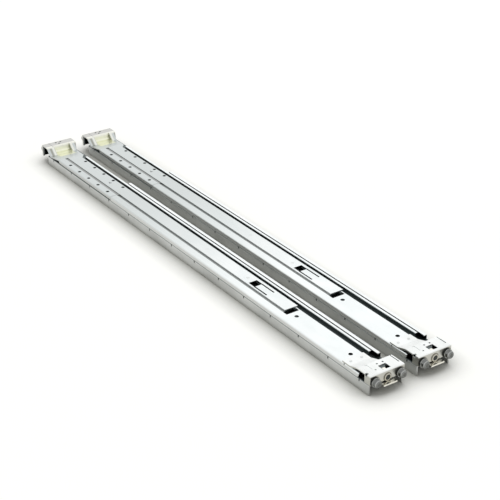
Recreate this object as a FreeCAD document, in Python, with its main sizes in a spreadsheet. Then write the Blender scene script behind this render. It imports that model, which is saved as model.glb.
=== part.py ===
import FreeCAD, Part
import Sketcher
import math
import os
import re

# Pair of sliding server rails for a four-post rack, lying side by side with the
# rack side up and the server side down.  X runs across the pair, Y from the front
# posts to the rear posts, Z up.  Each rail is drawn with its front flange face at
# y = 0 and its own centre line at x = 0, then placed.

doc = FreeCAD.newDocument("server_rail_pair")
sizes = doc.addObject("Spreadsheet::Sheet", "sizes")

# Driving dimensions in millimetres: (name, value)
DIMENSIONS = [
    # whole rail
    ("rail_length", 700.0),          # front flange face to rear flange face, brackets closed up
    ("rail_width", 43.0),            # just under one rack unit
    ("rail_pitch", 61.0),            # spacing of the two rails as laid out
    ("slide_height", 12.5),          # ball-bearing slide alone
    ("profile_height", 5.3),         # support rail above the slide
    ("bracket_rise", 5.2),           # bracket plates above the support rail
    ("running_gap", 0.2),            # between flat faces that slide on each other
    # cabinet member of the slide
    ("slide_sheet", 1.5),
    ("slide_lip", 5.0),
    ("slide_bend", 1.2),
    ("slide_front_gap", 2.0),
    ("slide_rear_gap", 17.0),
    ("tick_first", 16.5),
    ("tick_pitch", 50.0),
    ("tick_width", 1.0),
    ("tick_height", 2.4),
    ("tick_depth", 0.5),
    ("lip_setback", 12.0),
    # moving members of the slide
    ("member_sheet", 1.3),
    ("member_front", 24.0),
    ("member_rear_gap", 32.0),
    ("member_half_width", 15.6),
    ("member_top", 9.4),
    ("member_floor", 1.0),
    ("member_lip", 2.5),
    ("inner_half_width", 9.8),
    ("inner_floor", 0.5),
    ("inner_top", 7.6),
    ("server_hole_radius", 2.2),
    ("server_hole_first", 40.0),
    ("server_hole_pitch", 190.0),
    # balls and their cages
    ("ball_radius", 2.0),
    ("ball_clearance", 0.1),
    ("ball_height", 5.2),
    ("ball_pitch", 130.0),
    ("cage_start", 170.0),
    ("cage_length", 326.0),
    ("cage_sheet", 0.8),
    ("cage_half_height", 2.7),
    # support rail
    ("rail_sheet", 1.2),
    ("rail_bend", 1.4),
    ("shoulder_front", 18.0),
    ("shoulder_gap", 0.25),
    ("shoulder_corner", 3.2),
    ("web_front_edge", 150.0),
    ("strip_width", 9.2),
    ("groove_width", 4.1),
    ("tongue_width", 16.7),
    ("web_right", 5.2),
    ("trough_right", 12.5),
    ("lip_width", 2.8),
    ("lip_front", 44.0),
    ("lip_rear", 641.0),
    ("strip_rear", 512.0),
    ("web_hole_radius", 2.4),
    ("web_hole_offset", 5.8),
    ("web_hole_front", 50.4),
    ("web_hole_rear", 141.2),
    # guide rail
    ("guide_width", 5.0),
    ("guide_front", 36.0),
    ("guide_rear", 534.0),
    # brackets
    ("bracket_sheet", 1.5),
    ("plate_depth", 20.0),
    ("ramp_length", 12.0),
    ("landing_length", 12.0),
    ("side_plate_depth", 9.0),
    ("window_width", 9.4),
    ("window_depth", 8.4),
    ("window_front", 3.4),
    ("window_left", 2.8),
    ("pilot_depth", 15.2),
    ("pilot_left", 1.2),
    ("pilot_right", 6.0),
    ("gauge_depth", 7.4),
    ("gauge_left", 9.1),
    ("relief_width", 1.1),
    ("relief_start", 6.0),
    ("mark_depth", 0.6),
    ("mark_width", 0.8),
    ("mark_left", 11.6),
    ("mark_start", 9.8),
    ("mark_length", 9.7),
    ("mark_foot", 3.0),
    ("rivet_inset", 6.0),
    ("small_hole_radius", 1.1),
    ("ear_spacing", 17.0),
    ("ear_sheet", 1.2),
    ("ear_front", 5.0),
    ("ear_rear", 14.0),
    ("rear_plate_depth", 16.0),
    ("rear_wall_run", 9.0),
    ("rear_dip", 3.2),
    ("rear_dip_run", 24.0),
    ("rear_flange_height", 15.0),
    ("rear_side_depth", 7.0),
    ("rear_shoulder_gap", 1.2),
    ("scoop_half_width", 11.5),
    ("scoop_depth", 3.0),
    ("gusset_width", 5.6),
    ("gusset_length", 7.0),
    ("gusset_taper", 3.4),
    ("depth_travel", 168.0),
    ("tongue_slot_gap", 9.0),
    ("groove_depth", 0.9),
    ("edge_hole_first", 527.8),
    ("edge_hole_pitch", 24.8),
    ("edge_hole_radius", 1.7),
    ("left_hole_offset", 16.6),
    ("right_hole_offset", 5.6),
    ("finger_front", 196.5),
    ("finger_rear", 219.0),
    ("finger_left", 6.0),
    ("finger_window", 11.0),
    ("finger_slit", 1.2),
    ("stud_first", 240.0),
    ("stud_pitch", 84.0),
    ("stud_radius", 2.0),
    ("stud_head_radius", 3.4),
    ("stud_head_height", 1.0),
    # rack interface
    ("peg_spacing", 31.75),
    ("peg_depth", 7.4),
    ("peg_radius", 4.3),
    ("rear_peg_radius", 4.1),
    ("peg_reach", 7.0),
    ("peg_nose", 1.4),
    ("collar_radius", 5.2),
    ("collar_length", 2.6),
    ("insert_ring_radius", 4.1),
    ("insert_ring_height", 1.2),
    ("insert_shank_radius", 3.4),
    ("insert_length", 2.6),
    ("thread_radius", 2.4),
    ("fit_gap", 0.1),
    # rack latch
    ("latch_sheet", 1.5),
    ("latch_width", 17.0),
    ("latch_reach", 5.2),
    ("latch_drop", 1.2),
    ("latch_tip", 1.7),
    ("latch_pivot", 10.0),
    ("hub_radius", 3.0),
    ("hub_width", 16.0),
    ("pin_radius", 1.5),
    ("tail_width", 3.4),
    ("tail_offset", 1.3),
    ("spring_width", 3.2),
    ("spring_sheet", 0.5),
    # fasteners and small parts
    ("rivet_radius", 1.0),
    ("rivet_head_radius", 1.6),
    ("rivet_head_height", 0.8),
    ("rivet_first", 90.0),
    ("rivet_pitch", 240.0),
    ("bumper_length", 10.0),
    ("bumper_width", 14.0),
    ("tab_width", 11.0),
    ("tab_length", 70.0),
    ("tab_start", 110.0),
    ("tab_sheet", 1.4),
    ("tab_travel", 8.0),
    ("lever_length", 46.0),
    ("lever_width", 6.0),
    ("lever_sheet", 1.4),
    ("lever_pivot", 600.0),
]

for row, (name, number) in enumerate(DIMENSIONS, start=1):
    cell = "A%d" % row
    sizes.set(cell, str(number))
    sizes.setAlias(cell, name)
doc.recompute()


def bound(formula):
    """The formula with every size name pointing at its spreadsheet cell."""
    return re.sub(r"[a-z][a-z_]+", lambda word: "sizes." + word.group(0), str(formula))


def value(formula):
    """The formula's present value as a plain number."""
    return float(sizes.evalExpression(bound(formula)))


# Levels and lines worked out from the driving dimensions
HALF = "(rail_width / 2)"
WEB_TOP = "(slide_height + profile_height)"
PLATE_TOP = "(slide_height + profile_height + bracket_rise)"
PEG_AXIS = f"({PLATE_TOP} - peg_depth)"
STRIP_EDGE = f"(strip_width - {HALF})"
TONGUE_LEFT = f"({STRIP_EDGE} + groove_width)"
TONGUE_RIGHT = f"({TONGUE_LEFT} + tongue_width)"
RECESS_TOP = f"({WEB_TOP} - bracket_sheet - running_gap)"
TONGUE_UNDERSIDE = f"({WEB_TOP} - bracket_sheet)"
SLIDE_END = "(rail_length - slide_rear_gap)"
MEMBER_END = "(rail_length - member_rear_gap)"
TONGUE_FRONT = "(web_front_edge + tongue_slot_gap)"
TROUGH_RIVET_X = f"(({TONGUE_RIGHT} + trough_right) / 2)"
GUIDE_LEFT = f"({HALF} - guide_width)"
OUTER_BALL_X = f"(({HALF} - slide_sheet + member_half_width) / 2)"
INNER_BALL_X = "((member_half_width - member_sheet + inner_half_width) / 2)"

PLANES = {"XY": "XY_Plane", "XZ": "XZ_Plane", "YZ": "YZ_Plane"}


def circle(across, up, radius):
    """A round outline for a sketch."""
    return ("circle", across, up, radius)


def polygon(*corners):
    """A closed outline with straight sides."""
    return ("polygon", corners)


def ring(across, up, radius, sides=8):
    """A many-sided outline that stands for a small round hole."""
    corners = []
    for number in range(sides):
        angle = 2 * math.pi * number / sides
        corners.append((f"({across}) + ({radius}) * {math.cos(angle):.6f}",
                        f"({up}) + ({radius}) * {math.sin(angle):.6f}"))
    return polygon(*corners)


def rectangle(left, low, right, high):
    """An upright four-sided outline."""
    return polygon((left, low), (right, low), (right, high), (left, high))


class Piece:
    """One sub-part: a body made of padded and pocketed sketches."""

    def __init__(self, label):
        self.body = doc.addObject("PartDesign::Body", label)
        self.body.Label = label
        self.count = 0

    def sketch(self, plane, start, outlines):
        """Closed outlines on a plane parallel to one of the body's origin planes."""
        self.count += 1
        name = "%s_outline_%d" % (self.body.Name, self.count)
        drawing = self.body.newObject("Sketcher::SketchObject", name)
        features = self.body.Origin.OriginFeatures
        support = [item for item in features if item.Role == PLANES[plane]]
        drawing.AttachmentSupport = [(support[0], "")]
        drawing.MapMode = "FlatFace"
        away = "-(%s)" % start if plane == "XZ" else str(start)
        drawing.setExpression(".AttachmentOffset.Base.z", bound(away))
        for outline in outlines:
            if outline[0] == "circle":
                self.add_circle(drawing, *outline[1:])
            else:
                self.add_polygon(drawing, outline[1])
        return drawing

    def tie(self, drawing, kind, element, point, formula):
        """Hold one coordinate of a point to a formula."""
        rule = Sketcher.Constraint(kind, -1, 1, element, point, value(formula))
        index = drawing.addConstraint(rule)
        drawing.setExpression("Constraints[%d]" % index, bound(formula))

    def add_circle(self, drawing, across, up, radius):
        centre = FreeCAD.Vector(value(across), value(up), 0)
        ring = Part.Circle(centre, FreeCAD.Vector(0, 0, 1), value(radius))
        element = drawing.addGeometry(ring, False)
        self.tie(drawing, "DistanceX", element, 3, across)
        self.tie(drawing, "DistanceY", element, 3, up)
        index = drawing.addConstraint(Sketcher.Constraint("Radius", element, value(radius)))
        drawing.setExpression("Constraints[%d]" % index, bound(radius))

    def add_polygon(self, drawing, corners):
        points = [FreeCAD.Vector(value(x), value(y), 0) for x, y in corners]
        ends = points[1:] + points[:1]
        sides = [Part.LineSegment(a, b) for a, b in zip(points, ends)]
        first = drawing.addGeometry(sides, False)[0]
        total = len(corners)
        for number, (across, up) in enumerate(corners):
            following = first + (number + 1) % total
            drawing.addConstraint(Sketcher.Constraint("Coincident", first + number, 2, following, 1))
            self.tie(drawing, "DistanceX", first + number, 1, across)
            self.tie(drawing, "DistanceY", first + number, 1, up)

    def feature(self, kind, plane, start, end, outlines):
        drawing = self.sketch(plane, start, outlines)
        made = self.body.newObject("PartDesign::" + kind, "%s_%s_%d" % (self.body.Name, kind, self.count))
        made.Profile = drawing
        made.setExpression("Length", bound("(%s) - (%s)" % (end, start)))
        toward_minus = (plane == "XZ") != (kind == "Pocket")
        made.Reversed = toward_minus
        return made

    def pad(self, plane, start, end, *outlines):
        """Material between two parallel planes."""
        return self.feature("Pad", plane, start, end, outlines)

    def pocket(self, plane, start, end, *outlines):
        """A cut between two parallel planes."""
        return self.feature("Pocket", plane, start, end, outlines)

    def small_holes(self, plane, start, end, places, radius):
        """Small round holes, each drawn as a ring of flats."""
        for across, up in places:
            self.pocket(plane, start, end, ring(across, up, radius))

    def round_edges(self, radius, axis, lines):
        """Fillet the edges parallel to an axis that pass through the given places."""
        doc.recompute()
        base = self.body.Tip
        others = [number for number in range(3) if number != axis]
        places = [(value(a), value(b)) for a, b in lines]
        names = []
        for number, edge in enumerate(base.Shape.Edges, start=1):
            low, high = edge.Vertexes[0].Point, edge.Vertexes[-1].Point
            for a, b in places:
                spread = [abs(point[others[0]] - a) + abs(point[others[1]] - b) for point in (low, high)]
                if max(spread) < 0.01 and abs(low[axis] - high[axis]) > 0.01:
                    names.append("Edge%d" % number)
        made = self.body.newObject("PartDesign::Fillet", self.body.Name + "_fillet_%d" % self.count)
        made.Base = (base, names)
        made.setExpression("Radius", bound(radius))
        self.count += 1
        return made


class Rail:
    """Everything that belongs to one rail."""

    def __init__(self, side, shift):
        self.side = side
        self.shift = shift
        self.nodes = []

    def piece(self, name):
        made = Piece(self.side + "_" + name)
        self.place(made.body, "0", False)
        return made

    def place(self, thing, forward, turned):
        """Put a finished sub-part on its rail, turned end for end at the rear."""
        thing.setExpression(".Placement.Base.x", bound(self.shift))
        thing.setExpression(".Placement.Base.y", bound("(%s) - rail_length / 2" % forward))
        if turned:
            thing.Placement.Rotation = FreeCAD.Rotation(FreeCAD.Vector(0, 0, 1), 180)
        self.nodes.append(thing)


def slide_cabinet_member(rail):
    """Outer channel of the slide, with a row of measuring notches down its left-hand side."""
    piece = rail.piece("slide_cabinet_member")
    inside = f"({HALF} - slide_sheet)"
    lip = f"({HALF} - slide_lip)"
    under = "(slide_height - slide_sheet)"
    piece.pad("XZ", "slide_front_gap", SLIDE_END, polygon(
        (f"-{HALF}", 0), (f"-{HALF}", "slide_height"), (HALF, "slide_height"), (HALF, 0),
        (lip, 0), (lip, "slide_sheet"), (inside, "slide_sheet"), (inside, under),
        (f"-{inside}", under), (f"-{inside}", "slide_sheet"), (f"-{lip}", "slide_sheet"), (f"-{lip}", 0)))
    piece.round_edges("slide_bend", 1, [
        (f"-{HALF}", "slide_height"), (HALF, "slide_height"), (f"-{HALF}", 0), (HALF, 0)])
    notch = "(latch_width / 2 + 1)"
    piece.pocket("XY", under, "slide_height", rectangle(
        f"-{notch}", 0, notch, "latch_pivot + hub_radius + 2"))
    piece.small_holes("XY", under, "slide_height", [
        (TROUGH_RIVET_X, along) for along in rivet_lines()], "rivet_radius + fit_gap / 2")
    # the bottom lips stop short of the front end
    piece.pocket("XY", 0, "slide_sheet", rectangle(f"-{inside}", 0, inside, "lip_setback"))
    count = int((value(SLIDE_END) - value("tick_first")) / value("tick_pitch"))
    ticks = []
    for number in range(count):
        start = f"(tick_first + tick_pitch * {number})"
        high = "(slide_height - slide_bend)"
        ticks.append(rectangle(start, f"{high} - tick_height", f"{start} + tick_width", high))
    piece.pocket("YZ", f"-{HALF}", f"tick_depth - {HALF}", *ticks)


def rivet_lines():
    """Where along the trough the support rail is riveted to the slide."""
    count = 1 + int((value("lip_rear") - 20 - value("rivet_first")) / value("rivet_pitch"))
    return [f"(rivet_first + rivet_pitch * {number})" for number in range(count)]


def slide_intermediate_member(rail):
    """Middle channel, which runs in the outer one and carries the inner one."""
    piece = rail.piece("slide_intermediate_member")
    outer = "member_half_width"
    inside = "(member_half_width - member_sheet)"
    lip = "(member_half_width - member_sheet - member_lip)"
    low = "(member_floor + member_sheet)"
    under = "(member_top - member_sheet)"
    piece.pad("XZ", "member_front", MEMBER_END, polygon(
        (f"-{outer}", "member_floor"), (f"-{outer}", "member_top"), (outer, "member_top"),
        (outer, "member_floor"), (lip, "member_floor"), (lip, low), (inside, low), (inside, under),
        (f"-{inside}", under), (f"-{inside}", low), (f"-{lip}", low), (f"-{lip}", "member_floor")))
    piece.round_edges("slide_bend", 1, [(f"-{outer}", "member_top"), (outer, "member_top")])


def slide_inner_member(rail):
    """Inner channel that the server is screwed to, with a window for the grip of the tab."""
    piece = rail.piece("slide_inner_member")
    outer = "inner_half_width"
    inside = "(inner_half_width - member_sheet)"
    over = "(inner_floor + member_sheet)"
    piece.pad("XZ", "member_front", MEMBER_END, polygon(
        (f"-{outer}", "inner_top"), (f"-{outer}", "inner_floor"), (outer, "inner_floor"),
        (outer, "inner_top"), (inside, "inner_top"), (inside, over), (f"-{inside}", over),
        (f"-{inside}", "inner_top")))
    piece.round_edges("slide_bend", 1, [(f"-{outer}", "inner_floor"), (outer, "inner_floor")])
    piece.pocket("XY", "inner_floor", over, *[
        circle(0, f"(member_front + server_hole_first + server_hole_pitch * {number})",
               "server_hole_radius") for number in range(4)])
    grip = "(tab_start + tab_length - 16)"
    piece.pocket("XY", "inner_floor", over, rectangle(
        "-tab_width / 2 + 1.5", f"{grip} - 1", "tab_width / 2 - 1.5", f"{grip} + 9 + tab_travel"))


def ball_places():
    """Where the balls sit along a cage."""
    count = 3
    margin = f"(cage_length - ball_pitch * {count - 1}) / 2"
    return [f"(cage_start + {margin} + ball_pitch * {number})" for number in range(count)]


def faceted_ball(name, across, along):
    """A ball with flat facets: what three eight-sided bars share where they cross."""
    bars = []
    for axis, turn in (("x", (0, 1, 0)), ("y", (1, 0, 0)), ("z", None)):
        bar = doc.addObject("Part::Prism", "%s_bar_%s" % (name, axis))
        bar.Polygon = 8
        bar.setExpression("Circumradius", bound("ball_radius * 1.04"))
        bar.setExpression("Height", bound("ball_radius * 2"))
        upright = FreeCAD.Rotation(FreeCAD.Vector(0, 0, 1), 22.5)
        tilt = FreeCAD.Rotation(FreeCAD.Vector(*turn), 90) if turn else FreeCAD.Rotation()
        bar.Placement.Rotation = tilt.multiply(upright)
        shifts = {"x": (-1, 0, 0), "y": (0, 1, 0), "z": (0, 0, -1)}[axis]
        for letter, sign in zip("xyz", shifts):
            bar.setExpression(".Placement.Base." + letter, bound(f"ball_radius * ({sign})"))
        bars.append(bar)
    ball = doc.addObject("Part::MultiCommon", name)
    ball.Shapes = bars
    ball.setExpression(".Placement.Base.x", bound(across))
    ball.setExpression(".Placement.Base.y", bound(along))
    ball.setExpression(".Placement.Base.z", bound("ball_height"))
    return ball


def box(name, length, width, height, corner):
    """A plain block with one corner at the given place."""
    made = doc.addObject("Part::Box", name)
    for side, size in zip(("Length", "Width", "Height"), (length, width, height)):
        made.setExpression(side, bound(size))
    for letter, start in zip("xyz", corner):
        made.setExpression(".Placement.Base." + letter, bound(start))
    return made


def balls_and_cage(rail, prefix, ball_x):
    """A row of balls in each race and the pierced strips that keep them apart."""
    label = "%s_%s" % (rail.side, prefix)
    pocket = "(ball_radius + ball_clearance)"
    strips = []
    windows = []
    balls = []
    for sign in ("-", ""):
        side = label + ("_left" if sign else "_right")
        strips.append(box(side + "_strip", "cage_sheet", "cage_length", "cage_half_height * 2", (
            f"{sign}{ball_x} - cage_sheet / 2", "cage_start", "ball_height - cage_half_height")))
        for number, along in enumerate(ball_places()):
            name = "%s_%d" % (side, number)
            windows.append(box(name + "_window", "cage_sheet * 3", pocket + " * 2", pocket + " * 2", (
                f"{sign}{ball_x} - cage_sheet * 1.5", f"{along} - {pocket}", f"ball_height - {pocket}")))
            balls.append(faceted_ball(name + "_ball", f"{sign}{ball_x}", along))
    cage = doc.addObject("Part::Cut", label + "_ball_cage")
    cage.Base = compound(label + "_strips", strips)
    cage.Tool = compound(label + "_windows", windows)
    rail.place(cage, "0", False)
    rail.place(compound(label + "_balls", balls), "0", False)


def compound(label, members):
    """Several solids that are placed together under one name."""
    group = doc.addObject("Part::Compound", label)
    group.Links = members
    group.Label = label
    return group


def support_rail(rail):
    """Roll-formed profile on top of the slide: shoulder, web, recess for the tongue, trough, lip."""
    piece = rail.piece("support_rail")
    left = f"-{HALF}"
    left_in = f"(rail_sheet - {HALF})"
    web_under = f"({WEB_TOP} - rail_sheet)"
    floor_top = "(slide_height + rail_sheet)"
    drop = "(web_right - rail_sheet)"
    wall = "(trough_right + rail_sheet)"
    lip = "(trough_right + lip_width)"
    # trough floor with its raised right-hand lip
    piece.pad("XZ", "lip_front", "lip_rear", polygon(
        (drop, "slide_height"), (drop, floor_top), ("trough_right", floor_top),
        ("trough_right", WEB_TOP), (lip, WEB_TOP), (lip, web_under), (wall, web_under),
        (wall, "slide_height")))
    # web in front of the slot, with the left shoulder and the drop into the trough
    shoulder_low = "(slide_height + shoulder_gap)"
    piece.pad("XZ", "shoulder_front", "web_front_edge", polygon(
        (left, shoulder_low), (left, WEB_TOP), ("web_right", WEB_TOP), ("web_right", "slide_height"),
        (drop, "slide_height"), (drop, web_under), (left_in, web_under), (left_in, shoulder_low)))
    # strip beside the groove, back to where the rear bracket begins
    recess_under = f"({RECESS_TOP} - rail_sheet)"
    step_in = f"({STRIP_EDGE} - rail_sheet)"
    piece.pad("XZ", "web_front_edge", "strip_rear", polygon(
        (left, shoulder_low), (left, WEB_TOP), (STRIP_EDGE, WEB_TOP), (STRIP_EDGE, recess_under),
        (step_in, recess_under), (step_in, web_under), (left_in, web_under), (left_in, shoulder_low)))
    # recessed web that carries the tongue
    piece.pad("XZ", TONGUE_FRONT, "lip_rear", polygon(
        (STRIP_EDGE, recess_under), (STRIP_EDGE, RECESS_TOP), ("web_right", RECESS_TOP),
        ("web_right", "slide_height"), (drop, "slide_height"), (drop, recess_under)))
    # edge of the trough beside the opening, with a narrow slit at its rear end
    slit = f"({TONGUE_FRONT} - 2.5)"
    piece.pad("XZ", "web_front_edge", slit, rectangle(drop, "slide_height", "web_right", WEB_TOP))
    piece.pad("XZ", slit, TONGUE_FRONT, rectangle(drop, "slide_height", "web_right", floor_top))
    piece.round_edges("rail_bend", 1, [(left, WEB_TOP)])
    piece.round_edges("shoulder_corner", 0, [("shoulder_front", shoulder_low)])
    # holes in the web
    piece.pocket("XY", web_under, WEB_TOP, *[
        circle("-web_hole_offset", y, "web_hole_radius") for y in ("web_hole_front", "web_hole_rear")])
    piece.small_holes("XY", web_under, WEB_TOP, bracket_rivet_places(), "rivet_radius + fit_gap / 2")
    # slot under the tongue that its studs run in, and the opening under the spring finger
    slot_half = "(stud_radius + 0.3)"
    piece.pocket("XY", recess_under, RECESS_TOP, rectangle(
        f"-{slot_half}", f"stud_first - {slot_half}",
        slot_half, f"stud_first + stud_pitch + depth_travel + {slot_half}"))
    piece.pocket("XY", recess_under, RECESS_TOP, rectangle(
        f"{STRIP_EDGE} + groove_width + 1.5", "finger_front - 2", f"{drop} - 0.4", "finger_rear + 13"))
    piece.small_holes("XY", "slide_height", floor_top, [
        (TROUGH_RIVET_X, along) for along in rivet_lines()], "rivet_radius + fit_gap / 2")


def guide_rail(rail):
    """Wide channel along the right-hand edge, open towards the lip."""
    piece = rail.piece("guide_rail")
    inside = f"({HALF} - rail_sheet)"
    piece.pad("XZ", "guide_front", "guide_rear", polygon(
        (GUIDE_LEFT, "slide_height"), (HALF, "slide_height"), (HALF, WEB_TOP), (GUIDE_LEFT, WEB_TOP),
        (GUIDE_LEFT, f"{WEB_TOP} - rail_sheet"), (inside, f"{WEB_TOP} - rail_sheet"),
        (inside, "slide_height + rail_sheet"), (GUIDE_LEFT, "slide_height + rail_sheet")))
    piece.round_edges("rail_bend", 1, [(HALF, WEB_TOP)])


def bracket_rivet_places():
    """Where the landing of the front bracket is riveted to the web."""
    along = "(plate_depth + ramp_length + landing_length / 2)"
    return [(f"rivet_inset - {HALF}", along), ("-web_hole_offset + 4", along)]


def upright_bar(name, radius, height, corner, sides=8):
    """A many-sided bar along Z, for small fasteners."""
    bar = doc.addObject("Part::Prism", name)
    bar.Polygon = sides
    bar.setExpression("Circumradius", bound(radius))
    bar.setExpression("Height", bound(height))
    for letter, start in zip("xyz", corner):
        bar.setExpression(".Placement.Base." + letter, bound(start))
    return bar


def along_y(kind, name, across, start, height_formula, radii):
    """A round or many-sided step on an axis parallel to Y, at the height of the pegs."""
    step = doc.addObject(kind, name)
    for field, radius in radii.items():
        step.setExpression(field, bound(radius))
    step.setExpression("Height", bound(height_formula))
    step.Placement.Rotation = FreeCAD.Rotation(FreeCAD.Vector(1, 0, 0), -90)
    step.setExpression(".Placement.Base.x", bound(across))
    step.setExpression(".Placement.Base.y", bound(start))
    step.setExpression(".Placement.Base.z", bound(PEG_AXIS))
    return step


def pegs(rail, end, turned):
    """Two round pegs on collars, welded to the flange, for the outer holes of one rack unit."""
    label = "%s_%s_pegs" % (rail.side, end)
    radius = "rear_peg_radius" if turned else "peg_radius"
    made = []
    for number, across in enumerate(("-peg_spacing / 2", "peg_spacing / 2")):
        name = "%s_%d" % (label, number)
        collar = along_y("Part::Prism", name + "_collar", across, "-collar_length", "collar_length", {
            "Circumradius": "collar_radius"})
        collar.Polygon = 20
        body = along_y("Part::Cylinder", name + "_body", across, "peg_nose - peg_reach",
                       "peg_reach - peg_nose - collar_length", {"Radius": radius})
        nose = along_y("Part::Cone", name + "_nose", across, "-peg_reach", "peg_nose", {
            "Radius1": radius + " - peg_nose * 0.7", "Radius2": radius})
        peg = doc.addObject("Part::MultiFuse", name)
        peg.Shapes = [collar, body, nose]
        made.append(peg)
    rail.place(compound(label, made), "rail_length" if turned else "0", turned)


def thread_insert(rail, end, turned):
    """Threaded bush for the rack screw, pressed into the flange between the pegs."""
    label = "%s_%s_thread_insert" % (rail.side, end)
    flange = along_y("Part::Prism", label + "_ring", "0", "-insert_ring_height", "insert_ring_height", {
        "Circumradius": "insert_ring_radius"})
    flange.Polygon = 20
    barrel = along_y("Part::Cylinder", label + "_barrel", "0", "0", "bracket_sheet + insert_length", {
        "Radius": "insert_shank_radius"})
    outside = doc.addObject("Part::Fuse", label + "_outside")
    outside.Base = flange
    outside.Tool = barrel
    bore = along_y("Part::Cylinder", label + "_bore", "0", "-insert_ring_height",
                   "insert_ring_height + bracket_sheet + insert_length", {"Radius": "thread_radius"})
    bush = doc.addObject("Part::Cut", label)
    bush.Base = outside
    bush.Tool = bore
    rail.place(bush, "rail_length" if turned else "0", turned)


def insert_hole(piece, start, end):
    """Hole for the threaded bush."""
    piece.pocket("XZ", start, end, circle(0, PEG_AXIS, "insert_shank_radius + fit_gap / 2"))


def latch_ears(piece, forward, under):
    """Two lugs under the plate that hold the latch pin."""
    low = f"({PEG_AXIS} - hub_radius)"
    for side in ("-", ""):
        start = "(-ear_spacing / 2 - ear_sheet)" if side else "(ear_spacing / 2)"
        ear_start = forward("ear_front")
        ear_end = forward("ear_rear")
        piece.pad("YZ", start, f"{start} + ear_sheet", rectangle(ear_start, low, ear_end, under))
        piece.pocket("YZ", start, f"{start} + ear_sheet",
                     ring(forward("latch_pivot"), PEG_AXIS, "pin_radius + fit_gap", 16))


def front_bracket(rail):
    """Plate, flange and side plates of the front bracket, with the ramp down to the web."""
    piece = rail.piece("front_bracket")
    under = f"({PLATE_TOP} - bracket_sheet)"
    landing_top = f"({WEB_TOP} + bracket_sheet)"
    ramp_end = "(plate_depth + ramp_length)"
    landing_end = "(plate_depth + ramp_length + landing_length)"
    piece.pad("YZ", f"-{HALF}", HALF, polygon(
        (0, "slide_height"), (0, PLATE_TOP), ("plate_depth", PLATE_TOP), ("plate_depth", under),
        ("bracket_sheet", under), ("bracket_sheet", "slide_height")))
    piece.pad("YZ", f"-{HALF}", "web_right", polygon(
        ("plate_depth", PLATE_TOP), (ramp_end, landing_top), (landing_end, landing_top),
        (landing_end, WEB_TOP), (f"{ramp_end} - 0.4", WEB_TOP), ("plate_depth - 0.4", under),
        ("plate_depth - 0.4", PLATE_TOP)))
    piece.pad("YZ", f"-{HALF}", f"bracket_sheet - {HALF}", rectangle(
        0, "slide_height", "side_plate_depth", PLATE_TOP))
    piece.pad("YZ", f"{HALF} - bracket_sheet", HALF, rectangle(
        0, "slide_height", "side_plate_depth + 8", PLATE_TOP))
    piece.round_edges("slide_bend", 0, [(0, PLATE_TOP)])
    latch_ears(piece, lambda distance: distance, under)
    insert_hole(piece, "0", "bracket_sheet")
    # window over the latch tail, pilot and gauge holes, relief beside the side plates, bend mark
    piece.pocket("XY", under, PLATE_TOP, rectangle(
        "-window_left", "window_front", "window_width - window_left", "window_front + window_depth"))
    piece.small_holes("XY", under, PLATE_TOP, [
        ("-pilot_left", "pilot_depth"), ("pilot_right", "pilot_depth"),
        ("-gauge_left", "gauge_depth")], "small_hole_radius")
    right_slot = f"({HALF} - bracket_sheet)"
    piece.pocket("XY", under, PLATE_TOP, rectangle(
        f"{right_slot} - relief_width", "relief_start", right_slot, "plate_depth"))
    piece.pocket("XY", f"{PLATE_TOP} - 3", PLATE_TOP, rectangle(f"-{HALF}", 5, f"2.6 - {HALF}", 8))
    mark_end = "(mark_start + mark_length)"
    mark_right = "(mark_width - mark_left)"
    mark_foot_left = "(mark_width - mark_left - mark_foot)"
    piece.pocket("XY", f"{PLATE_TOP} - mark_depth", PLATE_TOP, polygon(
        ("-mark_left", "mark_start"), (mark_right, "mark_start"), (mark_right, mark_end),
        (mark_foot_left, mark_end), (mark_foot_left, f"{mark_end} - mark_width"),
        ("-mark_left", f"{mark_end} - mark_width")))
    piece.small_holes("XY", WEB_TOP, landing_top, bracket_rivet_places(), "rivet_radius + fit_gap / 2")


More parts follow.
